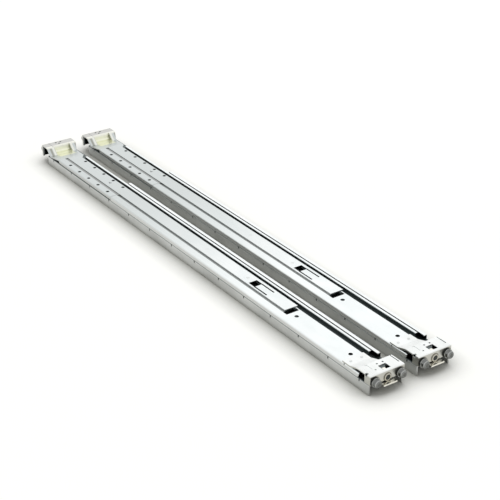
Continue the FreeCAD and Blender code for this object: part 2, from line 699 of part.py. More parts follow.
def rear_bracket(rail):
    """Sliding bracket: tongue, wide plate with its embossed groove, dip, raised box and flange."""
    piece = rail.piece("rear_bracket")
    left = f"-{HALF}"
    under = TONGUE_UNDERSIDE
    flange_low = "(slide_height + rail_sheet + 0.6)"
    shoulder_low = "(slide_height + rear_shoulder_gap)"
    start = "(strip_rear + 0.5)"
    plate_front = "(rail_length - rear_plate_depth)"
    foot = f"({plate_front} - rear_wall_run)"
    dip_front = f"({foot} - rear_dip_run)"
    plate_under = f"({PLATE_TOP} - bracket_sheet)"
    dip_top = f"({WEB_TOP} - rear_dip)"
    dip_under = f"({dip_top} - bracket_sheet)"
    flange_bottom = f"({PLATE_TOP} - rear_flange_height)"
    flange_front = "(rail_length - bracket_sheet)"
    # tongue with its stiffening flange
    piece.pad("XY", under, WEB_TOP, rectangle(TONGUE_LEFT, TONGUE_FRONT, TONGUE_RIGHT, dip_front))
    piece.pad("XY", flange_low, under, rectangle(
        f"{TONGUE_RIGHT} - rail_sheet", f"{TONGUE_FRONT} + 4", TONGUE_RIGHT, f"{dip_front} - 12"))
    # wide plate with its left shoulder
    piece.pad("XY", under, WEB_TOP, rectangle(left, start, TONGUE_LEFT, dip_front))
    piece.pad("XY", shoulder_low, under, rectangle(left, start, f"rail_sheet - {HALF}", dip_front))
    piece.round_edges("rail_bend", 1, [(left, WEB_TOP)])
    piece.pocket("XY", f"{WEB_TOP} - groove_depth", WEB_TOP, rectangle(
        STRIP_EDGE, start, TONGUE_LEFT, dip_front))
    # gusset where the right-hand side begins to widen
    gusset = f"({TONGUE_RIGHT} + gusset_width)"
    piece.pad("XY", under, WEB_TOP, polygon(
        (TONGUE_RIGHT, "lip_rear + 0.4"), (gusset, "lip_rear + 0.4 + gusset_length"), (gusset, dip_front),
        (TONGUE_RIGHT, dip_front)))
    # dip down to the foot of the box, over the full width
    piece.pad("YZ", left, HALF, polygon(
        (dip_front, under), (dip_front, WEB_TOP), (foot, dip_top), (f"{foot} + 1.5", dip_top),
        (f"{foot} + 1.5", dip_under), (foot, dip_under)))
    # side walls of the box, the scooped wall between them, and the webs that join them
    middle = "(scoop_half_width)"
    side_wall = polygon(
        (foot, dip_under), (foot, dip_top), (f"{plate_front} - 1", f"{PLATE_TOP} - 1"),
        (plate_front, PLATE_TOP), (f"{plate_front} + 3", PLATE_TOP), (f"{plate_front} + 3", plate_under),
        (f"{plate_front} + 1", plate_under), (f"{foot} + 1.9", dip_under))
    piece.pad("YZ", left, f"-{middle}", side_wall)
    piece.pad("YZ", middle, HALF, side_wall)
    low_step = f"({foot} + 4 + scoop_depth)"
    piece.pad("YZ", f"-{middle}", middle, polygon(
        (foot, dip_under), (foot, dip_top), (low_step, f"{dip_top} + 0.6"),
        (f"{plate_front} + 0.2", f"{dip_top} + 2.6"), (f"{plate_front} + 1.4", f"{PLATE_TOP} - 1"),
        (f"{plate_front} + 2.4", PLATE_TOP), (f"{plate_front} + 4", PLATE_TOP),
        (f"{plate_front} + 4", plate_under), (f"{plate_front} + 3", plate_under),
        (f"{plate_front} + 1.9", f"{dip_top} + 2.2"), (f"{low_step} + 0.4", dip_under)))
    web = polygon(
        (foot, dip_top), (f"{plate_front} - 1", f"{PLATE_TOP} - 1"), (f"{plate_front} + 3", plate_under),
        (f"{plate_front} + 1.9", f"{dip_top} + 2.2"), (f"{low_step} + 0.4", dip_under),
        (f"{foot} + 1.9", dip_under))
    piece.pad("YZ", f"-{middle} - rail_sheet", f"-{middle}", web)
    piece.pad("YZ", middle, f"{middle} + rail_sheet", web)
    # top plate and rear flange
    piece.pad("YZ", left, HALF, polygon(
        (f"{plate_front} + 3", plate_under), (f"{plate_front} + 3", PLATE_TOP), ("rail_length", PLATE_TOP),
        ("rail_length", flange_bottom), (flange_front, flange_bottom), (flange_front, plate_under)))
    piece.round_edges("slide_bend", 0, [("rail_length", PLATE_TOP)])
    piece.pad("YZ", left, f"bracket_sheet - {HALF}", polygon(
        ("rail_length - rear_side_depth", f"{flange_bottom} + 4"),
        ("rail_length - rear_side_depth", plate_under), (flange_front, plate_under),
        (flange_front, flange_bottom), ("rail_length - rear_side_depth + 4", flange_bottom)))
    # the right-hand side widens in a slant from the gusset to the box
    piece.pocket("XY", f"{dip_under} - 1", PLATE_TOP, polygon(
        (gusset, dip_front), (f"{gusset} + gusset_taper", foot), (HALF, f"{plate_front} + 1"),
        (f"{HALF} + 1", f"{plate_front} + 1"), (f"{HALF} + 1", dip_front)))
    # clearance for the hook under the flange
    piece.pocket("XZ", flange_front, "rail_length", rectangle(
        "-latch_width / 2 - 1", flange_bottom, "latch_width / 2 + 1", "slide_height"))
    insert_hole(piece, flange_front, "rail_length")
    latch_ears(piece, lambda distance: f"(rail_length - {distance})", plate_under)
    # holes in the wide plate, and the studs' holes in the tongue
    rows = [f"(edge_hole_first + edge_hole_pitch * {number})" for number in range(5)]
    piece.small_holes("XY", under, WEB_TOP, [
        (across, along) for along in rows for across in ("-left_hole_offset", "right_hole_offset")],
        "edge_hole_radius")
    piece.small_holes("XY", under, WEB_TOP, [("0", along) for along in stud_places()],
                      "stud_radius + fit_gap / 2")
    # spring finger: a window with two slits running forward from it
    finger_right = "(finger_window - finger_left)"
    piece.pocket("XY", under, WEB_TOP, rectangle(
        "-finger_left", "finger_rear", finger_right, "finger_rear + finger_window"))
    piece.pocket("XY", under, WEB_TOP, rectangle(
        "-finger_left", "finger_front", "finger_slit - finger_left", "finger_rear"))
    piece.pocket("XY", under, WEB_TOP, rectangle(
        f"{finger_right} - finger_slit", "finger_front", finger_right, "finger_rear"))
    # pilot holes over the rear latch
    piece.small_holes("XY", plate_under, PLATE_TOP, [
        ("-3", "(rail_length - 4.5)"), ("4", "(rail_length - 4.5)"), ("0", "(rail_length - 8.5)")],
        "small_hole_radius")


def stud_places():
    """Where along the tongue its two studs stand."""
    return ["stud_first", "(stud_first + stud_pitch)"]


def headed_bars(rail, name, places, steps):
    """Small fasteners along Z, each made of steps: (radius, lower end, height)."""
    label = rail.side + "_" + name
    made = []
    for number, (across, along) in enumerate(places):
        bars = [upright_bar("%s_%d_%d" % (label, number, step), radius, height, ("0", "0", low))
                for step, (radius, low, height) in enumerate(steps)]
        whole = doc.addObject("Part::MultiFuse", "%s_%d" % (label, number))
        whole.Shapes = bars
        whole.setExpression(".Placement.Base.x", bound(across))
        whole.setExpression(".Placement.Base.y", bound(along))
        made.append(whole)
    rail.place(compound(label, made), "0", False)


def tongue_studs(rail):
    """Headed studs that hold the tongue down through the slot in the support rail."""
    head_top = f"({RECESS_TOP} - rail_sheet - running_gap)"
    headed_bars(rail, "tongue_studs", [("0", along) for along in stud_places()], [
        ("stud_head_radius", f"{head_top} - stud_head_height", "stud_head_height"),
        ("stud_radius", head_top, f"{WEB_TOP} - {head_top}")])


def rivets(rail, name, places, seat, shank_end):
    """Rivets standing on a seat, with shanks down to the far side."""
    headed_bars(rail, name, places, [
        ("rivet_radius", shank_end, f"{seat} - {shank_end}"),
        ("rivet_head_radius", seat, "rivet_head_height")])


def latch(rail, end, turned):
    """Hook that closes behind the rack post: hub on a cross pin, arm under the flange, tip."""
    piece = Piece("%s_%s_latch" % (rail.side, end))
    arm_top = "(slide_height - latch_drop)"
    arm_low = "(slide_height - latch_drop - latch_sheet)"
    half = "(latch_width / 2)"
    piece.pad("YZ", f"-{half}", half, polygon(
        ("-latch_reach", f"{arm_top} - latch_tip"), (f"latch_sheet - latch_reach", f"{arm_top} - latch_tip"),
        ("latch_sheet - latch_reach", arm_low), ("latch_pivot - 1", arm_low),
        ("latch_pivot + 1.2", f"{PEG_AXIS} - 2"), ("latch_pivot - 1.6", f"{PEG_AXIS} - 1.4"),
        ("latch_pivot - 2.6", arm_top), ("-latch_reach", arm_top)))
    shaft = "(hub_width / 2)"
    piece.pocket("XY", arm_low, PEG_AXIS,
                 rectangle(shaft, "ear_front - 1", half, "latch_pivot + 4"),
                 rectangle(f"-{half}", "ear_front - 1", f"-{shaft}", "latch_pivot + 4"))
    piece.pad("YZ", f"-{shaft}", shaft, circle("latch_pivot", PEG_AXIS, "hub_radius"))
    tail_top = f"({PLATE_TOP} - bracket_sheet - 0.5)"
    piece.pad("YZ", "tail_offset - tail_width / 2", "tail_offset + tail_width / 2", polygon(
        ("latch_pivot - 2.6", f"{PEG_AXIS} + 1.0"), ("latch_pivot - 2.6", f"{tail_top} - 1.0"),
        ("latch_pivot - 4.4", f"{tail_top} - 1.0"), ("latch_pivot - 4.4", tail_top),
        ("latch_pivot - 1.2", tail_top), ("latch_pivot - 1.2", f"{PEG_AXIS} + 1.0")))
    piece.pocket("YZ", f"-{shaft}", shaft, circle("latch_pivot", PEG_AXIS, "pin_radius + fit_gap"))
    rail.place(piece.body, "rail_length" if turned else "0", turned)


def latch_pin(rail, end, turned):
    """Cross pin that the latch turns on, held in both ears."""
    label = "%s_%s_latch_pin" % (rail.side, end)
    pin = doc.addObject("Part::Cylinder", label + "_bar")
    pin.setExpression("Radius", bound("pin_radius"))
    pin.setExpression("Height", bound("ear_spacing + ear_sheet * 2"))
    pin.Placement.Rotation = FreeCAD.Rotation(FreeCAD.Vector(0, 1, 0), 90)
    pin.setExpression(".Placement.Base.x", bound("-ear_spacing / 2 - ear_sheet"))
    pin.setExpression(".Placement.Base.y", bound("latch_pivot"))
    pin.setExpression(".Placement.Base.z", bound(PEG_AXIS))
    rail.place(compound(label, [pin]), "rail_length" if turned else "0", turned)


def latch_spring(rail, end, turned):
    """Leaf spring on the back of the flange, bearing on the hub."""
    piece = Piece("%s_%s_latch_spring" % (rail.side, end))
    rest = f"({PEG_AXIS} + hub_radius + 0.2)"
    high = f"({PEG_AXIS} + hub_radius + 1)"
    start = "(-hub_width / 2 + 0.2)"
    piece.pad("YZ", start, f"{start} + spring_width", polygon(
        ("bracket_sheet", PEG_AXIS), ("bracket_sheet", high), ("bracket_sheet + spring_sheet", high),
        ("latch_pivot - 0.5", f"{rest} + spring_sheet"), ("latch_pivot - 0.5", rest),
        ("bracket_sheet + spring_sheet", f"{high} - spring_sheet"),
        ("bracket_sheet + spring_sheet", PEG_AXIS)))
    rail.place(piece.body, "rail_length" if turned else "0", turned)


def rear_bumper(rail):
    """Rubber stop under the rear end of the cabinet member."""
    label = rail.side + "_rear_bumper"
    low = "(member_floor + 2)"
    block = box(label + "_block", "bumper_width", "bumper_length", f"slide_height - slide_sheet - {low}", (
        "-bumper_width / 2", f"{MEMBER_END} + 0.5", low))
    rail.place(compound(label, [block]), "0", False)


def release_tab(rail):
    """Sliding plastic tab inside the inner member, with a thumb grip through its window."""
    piece = rail.piece("release_tab")
    low = "(inner_floor + member_sheet + running_gap)"
    high = "(inner_floor + member_sheet + running_gap + tab_sheet)"
    grip = "(tab_start + tab_length - 16)"
    piece.pad("XY", low, high, rectangle(
        "-tab_width / 2", "tab_start", "tab_width / 2", "tab_start + tab_length"))
    piece.pad("XY", "inner_floor", low, rectangle(
        "-tab_width / 2 + 2", grip, "tab_width / 2 - 2", f"{grip} + 8"))


def lock_lever(rail):
    """Lever that locks the inner member when it is fully out."""
    piece = rail.piece("lock_lever")
    low = "(inner_floor + member_sheet + running_gap)"
    high = "(inner_floor + member_sheet + running_gap + lever_sheet)"
    piece.pad("XY", low, high, rectangle(
        "-lever_width / 2", "lever_pivot - lever_length", "lever_width / 2", "lever_pivot + 4"))
    piece.pocket("XY", low, high, circle(0, "lever_pivot", "pin_radius + fit_gap"))


def lock_lever_stud(rail):
    """Shouldered stud in the inner member that the lock lever turns on."""
    seat = "(inner_floor + member_sheet)"
    reach = "(running_gap * 2 + lever_sheet)"
    headed_bars(rail, "lock_lever_stud", [("0", "lever_pivot")], [
        ("pin_radius", seat, reach), ("pin_radius * 1.6", f"{seat} + {reach}", "rivet_head_height")])


def build_rail(side, shift):
    """All the sub-parts of one rail, in order of assembly."""
    rail = Rail(side, shift)
    slide_cabinet_member(rail)
    slide_intermediate_member(rail)
    slide_inner_member(rail)
    balls_and_cage(rail, "outer", OUTER_BALL_X)
    balls_and_cage(rail, "inner", INNER_BALL_X)
    support_rail(rail)
    guide_rail(rail)
    rivets(rail, "rail_rivets", [(TROUGH_RIVET_X, along) for along in rivet_lines()],
           "(slide_height + rail_sheet)", "(slide_height - slide_sheet)")
    front_bracket(rail)
    rivets(rail, "bracket_rivets", bracket_rivet_places(),
           f"({WEB_TOP} + bracket_sheet)", f"({WEB_TOP} - rail_sheet)")
    rear_bracket(rail)
    tongue_studs(rail)
    for end, turned in (("front", False), ("rear", True)):
        pegs(rail, end, turned)
        thread_insert(rail, end, turned)
        latch(rail, end, turned)
        latch_pin(rail, end, turned)
        latch_spring(rail, end, turned)
    rear_bumper(rail)
    release_tab(rail)
    lock_lever(rail)
    lock_lever_stud(rail)
    return rail.nodes


nodes = build_rail("left", "-rail_pitch / 2")
nodes += build_rail("right", "rail_pitch / 2")
doc.recompute()

for thing in doc.Objects:
    if "Invalid" in thing.State or "Error" in thing.State:
        raise RuntimeError("%s failed: %s" % (thing.Label, thing.State))

os.makedirs("parts", exist_ok=True)
for node in nodes:
    shape = node.Shape
    if shape.isNull() or not shape.isValid():
        raise RuntimeError("%s has no valid shape" % node.Label)
    shape.exportStep("parts/%s.step" % node.Label)
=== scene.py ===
import math

import bmesh
import bpy
from mathutils import Matrix, Vector


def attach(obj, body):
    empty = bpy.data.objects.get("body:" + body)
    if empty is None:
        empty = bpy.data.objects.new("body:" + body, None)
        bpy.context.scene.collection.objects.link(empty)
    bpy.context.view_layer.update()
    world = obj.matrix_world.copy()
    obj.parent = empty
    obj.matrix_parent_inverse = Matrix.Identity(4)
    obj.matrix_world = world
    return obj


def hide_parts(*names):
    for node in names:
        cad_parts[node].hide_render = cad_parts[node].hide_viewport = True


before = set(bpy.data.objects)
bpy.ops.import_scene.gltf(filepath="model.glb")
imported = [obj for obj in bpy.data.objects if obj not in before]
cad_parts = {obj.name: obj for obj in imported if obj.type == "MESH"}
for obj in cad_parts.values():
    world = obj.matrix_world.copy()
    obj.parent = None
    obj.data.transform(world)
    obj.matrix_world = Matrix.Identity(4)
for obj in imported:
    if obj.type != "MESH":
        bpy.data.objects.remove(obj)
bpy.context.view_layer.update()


# ---- Slide, outer channel ----------------------------------------------------------------
# The outer channel is roll-formed from 1.5 mm strip that was zinc plated before forming.
# The rolls leave fine lines along its length.  Its back, under the support rail, is painted
# dark as the shade that lies there, its foot is painted darker as the shade along the
# table, and its pressed gauge marks are painted black as the shade in each dent.

MM = 0.001
RAIL_PITCH = 61.0                                    # between the centre lines of the rails
RAIL_LENGTH = 700.0                                  # between the faces of both flanges
RAIL_X = {"left": -0.5 * RAIL_PITCH * MM, "right": 0.5 * RAIL_PITCH * MM}


class Value:
    """A number, colour or vector inside a node tree, which can be used in sums."""

    def __init__(self, nodes, socket):
        self.nodes = nodes
        self.socket = socket

    def maths(self, operation, *others, clamp=False):
        node = self.nodes.make("ShaderNodeMath", {"operation": operation, "use_clamp": clamp})
        for number, item in enumerate((self,) + others):
            self.nodes.feed(node.inputs[number], item)
        return Value(self.nodes, node.outputs[0])

    def __add__(self, other):
        return self.maths("ADD", other)

    def __sub__(self, other):
        return self.maths("SUBTRACT", other)

    def __mul__(self, other):
        return self.maths("MULTIPLY", other)

    __radd__ = __add__
    __rmul__ = __mul__

    def __rsub__(self, other):
        return (self * -1.0) + other

    def size(self):
        return self.maths("ABSOLUTE")

    def above(self, edge):
        return self.maths("GREATER_THAN", edge)

    def below(self, edge):
        return self.maths("LESS_THAN", edge)

    def between(self, low, high):
        return self.above(low) * self.below(high)

    def clamped(self):
        return self.maths("ADD", 0.0, clamp=True)

    def rise(self, low, high):
        """0 up to low, 1 from high, and a smooth rise between them."""
        node = self.nodes.make("ShaderNodeMapRange", {"interpolation_type": "SMOOTHSTEP"},
                               {"Value": self, "From Min": low, "From Max": high})
        return Value(self.nodes, node.outputs["Result"])

    def fall(self, low, high):
        """1 up to low, 0 from high, and a smooth fall between them."""
        return 1.0 - self.rise(low, high)

    def from_nearest(self, first, pitch):
        """Distance to the nearest of a row of places that starts at first, signed."""
        return (self - first).maths("WRAP", 0.5 * pitch, -0.5 * pitch)


class Nodes:
    """The node tree of a material or of the world."""

    def __init__(self, owner):
        owner.use_nodes = True
        self.owner = owner
        self.tree = owner.node_tree

    def feed(self, socket, item):
        if isinstance(item, Value):
            self.tree.links.new(item.socket, socket)
        else:
            socket.default_value = item

    def make(self, kind, settings=None, inputs=None):
        node = self.tree.nodes.new(kind)
        for name, setting in (settings or {}).items():
            setattr(node, name, setting)
        for name, item in (inputs or {}).items():
            self.feed(node.inputs[name], item)
        return node

    def where(self):
        """The point itself, as a vector in metres."""
        return Value(self, self.make("ShaderNodeTexCoord").outputs["Object"])

    def place(self, where):
        """x from the centre line of the point's rail, y from the face of its front flange and
        z from the table, in millimetres."""
        parts = self.make("ShaderNodeSeparateXYZ", None, {"Vector": where})
        x, y, z = (Value(self, parts.outputs[axis]) * (1.0 / MM) for axis in "XYZ")
        centre = x.above(0.0) * RAIL_PITCH - 0.5 * RAIL_PITCH
        return x - centre, y + 0.5 * RAIL_LENGTH, z

    def noise(self, where, scale, detail, rough):
        stretched = self.make("ShaderNodeMapping", None, {"Vector": where, "Scale": scale})
        node = self.make("ShaderNodeTexNoise", None, {
            "Vector": Value(self, stretched.outputs["Vector"]), "Scale": 1.0, "Detail": detail,
            "Roughness": rough})
        return Value(self, node.outputs[0])

    def mix(self, share, first, second):
        """Inputs 6 and 7 and output 2 are the ones of a Mix node that carry colour."""
        node = self.make("ShaderNodeMix", {"data_type": "RGBA"}, {"Factor": share})
        self.feed(node.inputs[6], first)
        self.feed(node.inputs[7], second)
        return Value(self, node.outputs[2])

    def bump(self, height, distance, strength):
        node = self.make("ShaderNodeBump", None, {
            "Height": height, "Distance": distance, "Strength": strength})
        return Value(self, node.outputs["Normal"])

    def finish(self, **sockets):
        shader = self.tree.nodes["Principled BSDF"]
        for name, item in sockets.items():
            self.feed(shader.inputs[name.replace("_", " ")], item)
        return self.owner


def rgba(red, green, blue):
    return (red, green, blue, 1.0)


def metal(name, bright, dull, roughness, shades=None, speckle=0.0, lines=0.25):
    """Plated steel: cloudy patches, rolling lines along the rail and a fine speckle.  The
    shades function returns pairs of a mask and the colour that the metal takes there."""
    nodes = Nodes(bpy.data.materials.new(name))
    where = nodes.where()
    clouds = nodes.noise(where, (45.0, 22.0, 45.0), 4.0, 0.55)
    rolled = nodes.noise(where, (900.0, 9.0, 900.0), 3.0, 0.6)
    colour = nodes.mix(clouds.rise(0.30, 0.70), dull, bright)
    colour = nodes.mix(rolled.rise(0.35, 0.75) * lines, colour, dull)
    if speckle:
        grain = nodes.noise(where, (1100.0, 1100.0, 1100.0), 2.0, 0.7)
        colour = nodes.mix(grain.rise(0.52, 0.66) * speckle, colour, dull)
    rough = (clouds - 0.5) * 0.16 + (rolled - 0.5) * 0.12 + roughness
    for mask, shade in (shades(*nodes.place(where)) if shades else []):
        colour = nodes.mix(mask, colour, shade)
    return nodes.finish(
        Base_Color=colour, Roughness=rough.clamped(), Metallic=1.0,
        Normal=nodes.bump(rolled, 0.00004, 0.3))


def paint(material, *names):
    """Give a CAD piece of both rails its finish."""
    for side in RAIL_X:
        for name in names:
            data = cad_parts[side + "_" + name].data
            data.materials.clear()
            data.materials.append(material)


HOLLOW_SHADE = rgba(0.030, 0.038, 0.038)                     # painted shade of deep hollows, holes and openings
DUSK = rgba(0.125, 0.145, 0.145)                     # metal that lies in the shade
TICK_FIRST, TICK_PITCH = 17.0, 50.0                  # gauge marks pressed in the wall


# Painted shade: the back under the support rail, the foot along the table and the gauge marks.
def slide_shades(x, y, z):
    back = z.rise(11.4, 12.2)
    ticks = y.from_nearest(TICK_FIRST, TICK_PITCH).size().below(0.85)
    ticks = ticks * z.between(9.6, 12.2) * x.below(-20.5)
    foot = z.fall(0.0, 5.0)
    return [(foot * 0.45, rgba(0.40, 0.40, 0.38)), (back, DUSK), (ticks, HOLLOW_SHADE)]


paint(metal("slide_zinc", rgba(0.70, 0.71, 0.70), rgba(0.57, 0.58, 0.57), 0.40, slide_shades),
      "slide_cabinet_member")


# ---- Slide, intermediate and inner channels ----------------------------------------------
# Both running members are roll-formed from thinner plated strip and stay bright where the
# balls run.  They are greased, so they are a little darker and smoother than the outside.

member_zinc = metal("member_zinc", rgba(0.55, 0.56, 0.56), rgba(0.40, 0.41, 0.42), 0.30)
paint(member_zinc, "slide_intermediate_member", "slide_inner_member")


# ---- Balls and their cages ---------------------------------------------------------------
# Hardened steel balls run between the channels.  A cage pierced from thin strip keeps each
# row spaced, and goes half as far as the member that the balls carry.

def new_piece(name, mesh, material, body, replaced):
    """A finished mesh as an object that goes with a body, shown in place of a CAD piece."""
    bmesh.ops.recalc_face_normals(mesh, faces=mesh.faces)
    for face in mesh.faces:
        face.smooth = True
    data = bpy.data.meshes.new(name)
    mesh.to_mesh(data)
    mesh.free()
    data.set_sharp_from_angle(angle=math.radians(32))
    data.materials.append(material)
    thing = bpy.data.objects.new(name, data)
    bpy.context.scene.collection.objects.link(thing)
    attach(thing, body)
    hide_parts(replaced)


ball_steel = metal("ball_steel", rgba(0.78, 0.79, 0.80), rgba(0.66, 0.67, 0.68), 0.10)
paint(metal("cage_steel", rgba(0.42, 0.41, 0.37), rgba(0.30, 0.29, 0.26), 0.38),
      "outer_ball_cage", "inner_ball_cage")

FRONT_Y = -0.5 * RAIL_LENGTH * MM                    # face of the front flange
BALL_RADIUS = 2.0
BALL_HEIGHT = 5.2
BALL_ROWS = {"outer": 17.8, "inner": 12.05}          # how far each row lies from the centre
BALL_LINES = (203.0, 333.0, 463.0)                   # from the front flange

for side, centre in RAIL_X.items():
    for rows, across in BALL_ROWS.items():
        balls = bmesh.new()
        for sign in (-1, 1):
            for along in BALL_LINES:
                spot = Matrix.Translation((
                    centre + sign * across * MM, FRONT_Y + along * MM, BALL_HEIGHT * MM))
                bmesh.ops.create_uvsphere(
                    balls, u_segments=24, v_segments=16, radius=BALL_RADIUS * MM, matrix=spot)
        new_piece(f"{side}_{rows}_bearing_balls", balls, ball_steel,
                  f"{side}_{rows}_cage_body", f"{side}_{rows}_balls")


# ---- Support rail ------------------------------------------------------------------------
# The support rail is roll-formed from one steel strip with a bright zinc finish.  Its flat
# web is the whitest surface of the part; the trough and the recess under the tongue are
# painted dark as shade.

WEB_TOP = 17.8
SHOULDER_EDGE = -20.9                                # the shoulder lies to the left of this
REAR_SHADE = rgba(0.57, 0.605, 0.60)                  # painted shade: the zinc is darker and bluer towards the rear
REAR_FADE = (180.0, 520.0)                           # where that painted shade begins and is complete


# Painted shade on the shoulder side, in the trough, notch, groove and holes, and towards the
# rear.
def profile_shades(x, y, z):
    trough = z.fall(16.3, 17.3) * x.above(-20.6)
    shoulder = x.below(SHOULDER_EDGE) * z.fall(15.8, 17.6)
    far_end = y.rise(*REAR_FADE) * x.below(12.6)
    nick = x.below(-18.8) * y.between(40.2, 41.5) * z.above(15.5)
    groove = z.between(15.0, 16.5) * x.between(-12.5, -8.1) * y.between(159.0, 513.0)
    holes = z.below(WEB_TOP - 0.1) * x.between(-8.6, -3.0) * (
        y.between(47.0, 54.0) + y.between(138.0, 145.0))
    return [(far_end * 0.9, REAR_SHADE), (shoulder, rgba(0.70, 0.71, 0.70)), (trough, DUSK),
            (nick, DUSK), (groove, rgba(0.33, 0.34, 0.335)), (holes, HOLLOW_SHADE)]


profile_zinc = metal("profile_zinc", rgba(0.90, 0.93, 0.93), rgba(0.82, 0.86, 0.86), 0.34,
                     profile_shades, lines=0.35)
paint(profile_zinc, "support_rail")


# ---- Rivets of the support rail ----------------------------------------------------------
# Small steel rivets in the trough hold the support rail to the back of the slide.
# Their low domed heads are set by a press, lie on the trough floor and are painted dark as its
# shade.

UPWARD = Vector((0, 0, 1))


def lathe(mesh, profile, start, along, steps):
    """Spin (distance, radius) pairs, in millimetres, around a line from start."""
    out = Vector((1, 0, 0)) if abs(along.x) < 0.5 else UPWARD
    corners = [mesh.verts.new(start + along * (run * MM) + out * (radius * MM))
               for run, radius in profile]
    edges = [mesh.edges.new(pair) for pair in zip(corners, corners[1:])]
    bmesh.ops.spin(mesh, geom=corners + edges, cent=start, axis=along, angle=math.tau,
                   steps=steps, use_merge=True)
    bmesh.ops.remove_doubles(mesh, verts=mesh.verts, dist=1e-6)


RIVET_LINES = (90.0, 330.0, 570.0)                   # from the front flange
RIVET_ACROSS = 10.5                                  # from the centre line
DOME_TURNS = (0.25, 0.55, 0.85, 1.15)                # angles up a rounded head


def rivet(mesh, spot, foot, seat, shank, head, height):
    """One rivet along Z with a domed head: shank from foot up to the seat of the head."""
    dome = [(seat + height * math.sin(turn), head * math.cos(turn)) for turn in DOME_TURNS]
    profile = [(foot, 0.0), (foot, shank), (seat, shank), (seat, head * 0.94), *dome,
               (seat + height, 0.0)]
    lathe(mesh, profile, Vector((*spot, 0.0)), UPWARD, 24)


shaded_rivet = metal("shaded_rivet", rgba(0.10, 0.11, 0.11), rgba(0.06, 0.07, 0.07), 0.35)

for side, centre in RAIL_X.items():
    heads = bmesh.new()
    for along in RIVET_LINES:
        rivet(heads, (centre + RIVET_ACROSS * MM, FRONT_Y + along * MM),
              foot=11.0, seat=13.7, shank=1.0, head=1.6, height=0.8)
    new_piece(f"{side}_trough_rivets", heads, shaded_rivet, "rack_side",
              f"{side}_rail_rivets")


# ---- Guide rail --------------------------------------------------------------------------
# A narrow channel, folded from the same bright strip, is fixed beside the lip and stiffens
# the right-hand edge.  The hollow of its open front end and its left edge beside the lip
# are painted dark as shade.

# Painted shade: the hollow under the top and the gap at the left edge.
def guide_shades(x, y, z):
    hollow = x.below(21.1) * z.fall(16.4, 17.2)
    edge = x.below(16.95)
    return [(hollow, HOLLOW_SHADE), (edge, HOLLOW_SHADE)]


guide_zinc = metal("guide_zinc", rgba(0.93, 0.95, 0.95), rgba(0.84, 0.87, 0.87), 0.34,
                   guide_shades, lines=0.35)
paint(guide_zinc, "guide_rail")


# ---- Front bracket -----------------------------------------------------------------------
# The front bracket is folded from 1.5 mm plated steel: a top plate with windows over the
# latch, a flange that meets the rack post and a sloping tail riveted to the support rail.
# The flange is painted warmer and duller as shade, because it faces away from the light.

PLATE_TOP = 23.0
PEG_HEIGHT = 15.6                                    # pegs and bush above the table
PEG_SPREAD = 15.875                                  # each peg from the centre line
TAIL_RIVET_LINE = 38.0                               # from the front flange
TAIL_RIVETS = (-15.5, -1.8)                          # from the centre line


def ring(across, along, inner, outer):
    """1 between two circles around the point where both distances are 0."""
    return (across * across + along * along).between(inner * inner, outer * outer)


# Painted shade: flange, side cheeks, hollow inside, and seams around the bush and the pegs.
def front_shades(x, y, z):
    flange = y.fall(0.05, 0.25) * z.fall(PLATE_TOP - 0.8, PLATE_TOP - 0.1)
    cheek = x.size().above(21.3) * z.fall(PLATE_TOP - 2.0, PLATE_TOP - 0.3)
    inside = x.between(-19.9, 19.9) * y.between(1.55, 24.0) * z.below(PLATE_TOP - 1.6)
    face = y.below(0.3)
    bush_seam = ring(x, z - PEG_HEIGHT, 4.1, 5.0) * face
    peg_seam = ring(x.size() - PEG_SPREAD, z - PEG_HEIGHT, 5.2, 6.16) * face
    return [(cheek, rgba(0.50, 0.50, 0.46)), (inside, HOLLOW_SHADE),
            (flange, rgba(0.56, 0.555, 0.515)), (bush_seam * 0.75, rgba(0.15, 0.14, 0.11)),
            (peg_seam * 0.7, rgba(0.18, 0.175, 0.15))]


front_zinc = metal("front_zinc", rgba(0.92, 0.94, 0.93), rgba(0.80, 0.82, 0.81), 0.30,
                   front_shades, speckle=0.3)
paint(front_zinc, "front_bracket")

bright_rivet = metal("bright_rivet", rgba(0.80, 0.82, 0.81), rgba(0.64, 0.66, 0.66), 0.30)

for side, centre in RAIL_X.items():
    heads = bmesh.new()
    for across in TAIL_RIVETS:
        rivet(heads, (centre + across * MM, FRONT_Y + TAIL_RIVET_LINE * MM),
              foot=16.6, seat=19.3, shank=1.0, head=1.6, height=0.7)
    new_piece(f"{side}_bracket_rivet_heads", heads, bright_rivet, "rack_side",
              f"{side}_bracket_rivets")


# ---- Rack pegs ---------------------------------------------------------------------------
# Two turned steel pegs stand on each flange and drop into the square holes of the post.
# Each has a collar with a groove behind it and a rounded nose with a centring dimple.  Its
# lower side, the back of the collar and the dimple are painted dark as shade, and the edge
# of the collar and the chamfer of the nose carry painted highlights.

REAR_Y = 0.5 * RAIL_LENGTH * MM                      # face of the rear flange
ENDS = {"front": (FRONT_Y, Vector((0, -1, 0)), "rack_side"),
        "rear": (REAR_Y, Vector((0, 1, 0)), "{side}_rear_bracket_body")}
PEG_RADIUS = {"front": 4.3, "rear": 4.1}


def peg_profile(radius):
    """(distance from the flange face, radius) pairs of a peg, from its foot to its dimple."""
    collar = [(0.0, 0.0), (0.0, 4.9), (0.2, 5.2), (1.0, 5.2), (1.15, 4.75), (1.45, 4.75),
              (1.6, 5.2), (2.4, 5.2), (2.6, 5.0)]
    barrel = [(2.6, radius + 0.1), (2.8, radius), (5.5, radius)]
    nose = [(5.95, radius - 0.2), (6.45, radius - 0.55), (6.85, radius - 0.95),
            (7.0, radius - 1.4), (7.0, 1.5), (6.6, 1.1), (6.6, 0.0)]
    return collar + barrel + nose


def disc(across, along, radius):
    """1 inside a circle around the point where both distances are 0."""
    return (across * across + along * along).below(radius * radius)


def past_flange(y):
    """How far a point stands out of the nearer flange."""
    return (y - 0.5 * RAIL_LENGTH).size() - 0.5 * RAIL_LENGTH


